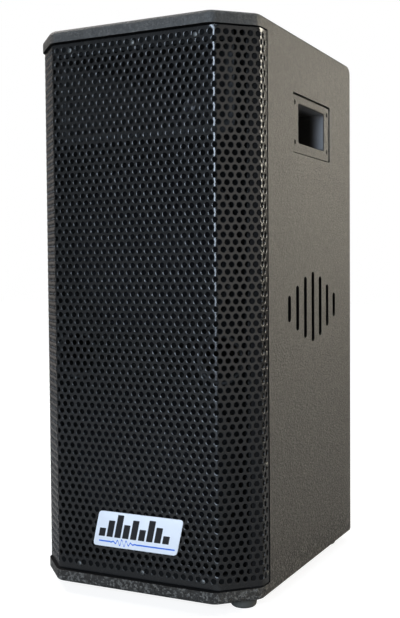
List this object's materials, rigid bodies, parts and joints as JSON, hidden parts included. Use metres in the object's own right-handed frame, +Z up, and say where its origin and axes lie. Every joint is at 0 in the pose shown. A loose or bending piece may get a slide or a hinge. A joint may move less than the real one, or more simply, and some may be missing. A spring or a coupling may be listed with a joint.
{
  "type": "pa speaker cabinet",
  "caption": "Tall passive loudspeaker cabinet with a perforated wrap-round steel grille, woofers, a horn, pocket handles, rear sockets and rubber feet.",
  "frame": {"origin": "on the floor under the middle of the case, centre of the bounding box's bottom face", "axes": "+Z up; -Y towards the listener, out of the grille; +X to the right seen from the front"},
  "size_m": [0.369, 0.464, 0.845],
  "materials": {
    "cabinet_paint": "black textured cabinet paint over plywood",
    "baffle_paint": "matt black paint over plywood",
    "plywood": "raw plywood",
    "grille_steel": "black powder coat, satin",
    "plate_steel": "black powder coat, fine texture",
    "badge": "white print film, satin",
    "foot_rubber": "matt rubber",
    "handle_plastic": "moulded, fine grain, painted over",
    "socket_plastic": "moulded, fine grain",
    "moulded_plastic": "moulded, satin",
    "lead_sheath": "smooth lead sheath",
    "lining_felt": "needled felt",
    "circuit_board": "circuit board lacquer",
    "copper": "lacquered copper wire",
    "capacitor_film": "wrapped film",
    "ceramic": "white ceramic body",
    "cast_basket": "die-cast, black paint",
    "ferrite": "sintered ferrite",
    "plated_steel": "zinc plated",
    "spider_cloth": "resin-treated cloth",
    "surround_cloth": "doped cloth",
    "cone_paper": "black pressed paper pulp",
    "titanium": "bright formed foil"
  },
  "bodies": {
    "cabinet": {"acoustic_lining_left": "lining_felt", "acoustic_lining_rear": "lining_felt", "acoustic_lining_right": "lining_felt", "badge_plate": "badge", "bottom_panel": "cabinet_paint", "cabinet_brace": "plywood", "connector_plate": "plate_steel", "crossover_board": "circuit_board", "crossover_capacitor_horn": "capacitor_film", "crossover_capacitor_woofer": "capacitor_film", "crossover_coil_horn": "copper", "crossover_coil_woofer": "copper", "crossover_resistor": "ceramic", "foot_front_left": "foot_rubber", "foot_front_right": "foot_rubber", "foot_rear_left": "foot_rubber", "foot_rear_right": "foot_rubber", "front_baffle": "baffle_paint", "front_grille": "grille_steel", "grille_batten_bottom": "baffle_paint", "grille_batten_top": "baffle_paint", "handle_pocket_left": "handle_plastic", "handle_pocket_right": "handle_plastic", "hf_cover": "moulded_plastic", "hf_magnet": "ferrite", "hf_rear_plate": "plated_steel", "hf_throat_plate": "plated_steel", "horn_flare": "moulded_plastic", "lead_horn": "lead_sheath", "lead_input": "lead_sheath", "lead_lower_woofer": "lead_sheath", "lead_upper_woofer": "lead_sheath", "lower_woofer_back_plate": "plated_steel", "lower_woofer_basket": "cast_basket", "lower_woofer_magnet": "ferrite", "lower_woofer_spider": "spider_cloth", "lower_woofer_surround": "surround_cloth", "lower_woofer_top_plate": "plated_steel", "port_tube_left": "moulded_plastic", "port_tube_right": "moulded_plastic", "rear_panel": "cabinet_paint", "side_panel_left": "cabinet_paint", "side_panel_right": "cabinet_paint", "speaker_socket_input": "socket_plastic", "speaker_socket_link": "socket_plastic", "top_panel": "cabinet_paint", "upper_woofer_back_plate": "plated_steel", "upper_woofer_basket": "cast_basket", "upper_woofer_magnet": "ferrite", "upper_woofer_spider": "spider_cloth", "upper_woofer_surround": "surround_cloth", "upper_woofer_top_plate": "plated_steel"},
    "lower_woofer_moving": {"lower_woofer_cone": "cone_paper", "lower_woofer_dust_cap": "cone_paper", "lower_woofer_voice_coil": "copper"},
    "upper_woofer_moving": {"upper_woofer_cone": "cone_paper", "upper_woofer_dust_cap": "cone_paper", "upper_woofer_voice_coil": "copper"},
    "hf_moving": {"hf_diaphragm": "titanium"}
  },
  "joints": [
    {"name": "lower_woofer_travel", "type": "slide", "parent": "cabinet", "child": "lower_woofer_moving", "axis": [0, -1, 0], "range_m": [-0.005, 0.005], "stiffness_N_per_m": 5000, "deforming": ["lower_woofer_surround", "lower_woofer_spider"]},
    {"name": "upper_woofer_travel", "type": "slide", "parent": "cabinet", "child": "upper_woofer_moving", "axis": [0, -1, 0], "range_m": [-0.005, 0.005], "stiffness_N_per_m": 5000, "deforming": ["upper_woofer_surround", "upper_woofer_spider"]},
    {"name": "hf_diaphragm_travel", "type": "slide", "parent": "cabinet", "child": "hf_moving", "axis": [0, -1, 0], "range_m": [-0.0004, 0.0004], "stiffness_N_per_m": 2000}
  ]
}
